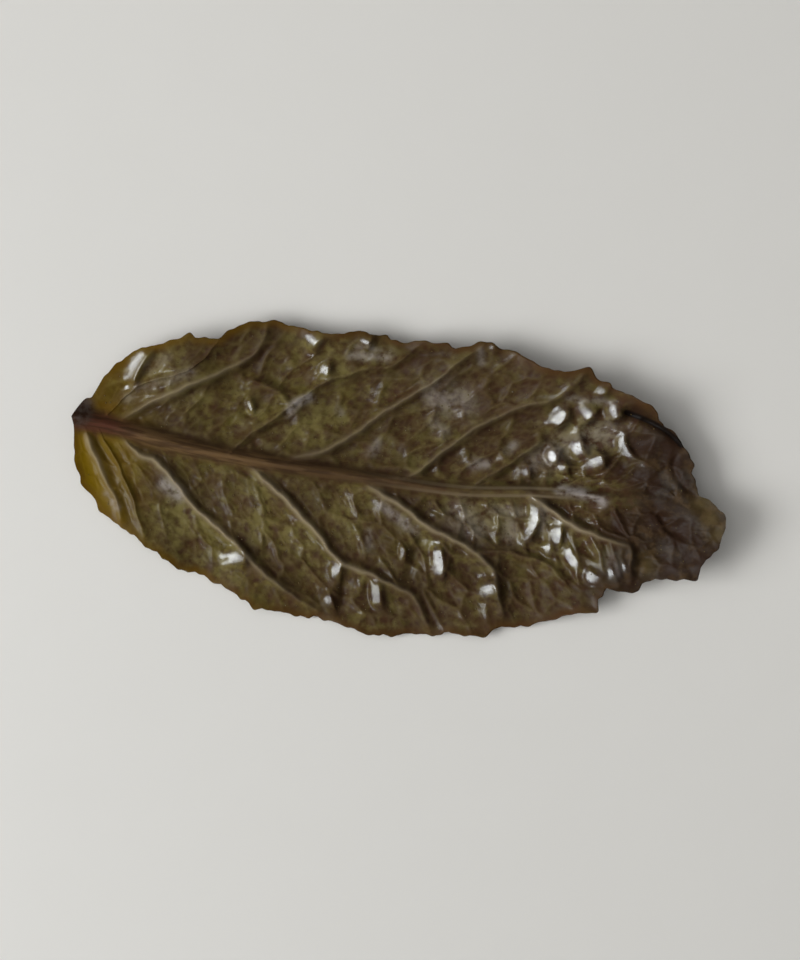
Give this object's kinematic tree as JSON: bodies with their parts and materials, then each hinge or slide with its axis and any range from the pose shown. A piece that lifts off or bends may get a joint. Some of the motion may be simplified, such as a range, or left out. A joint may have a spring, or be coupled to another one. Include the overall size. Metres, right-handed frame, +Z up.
{
  "type": "steeped spearmint leaf",
  "caption": "Single wet, steeped spearmint leaf lying face down, with raised midrib, side veins and net, and a toothed margin.",
  "frame": {"origin": "on the surface that the leaf lies on, under the middle of its box", "axes": "+X from the cut stalk to the tip, +Y across the blade, +Z up, out of the veined underside"},
  "size_m": [0.0456, 0.0212, 0.0037],
  "materials": {
    "wet_leaf": "wet, glossy, dark olive and brown"
  },
  "bodies": {
    "root": {"mint_leaf": "wet_leaf"}
  },
  "joints": []
}
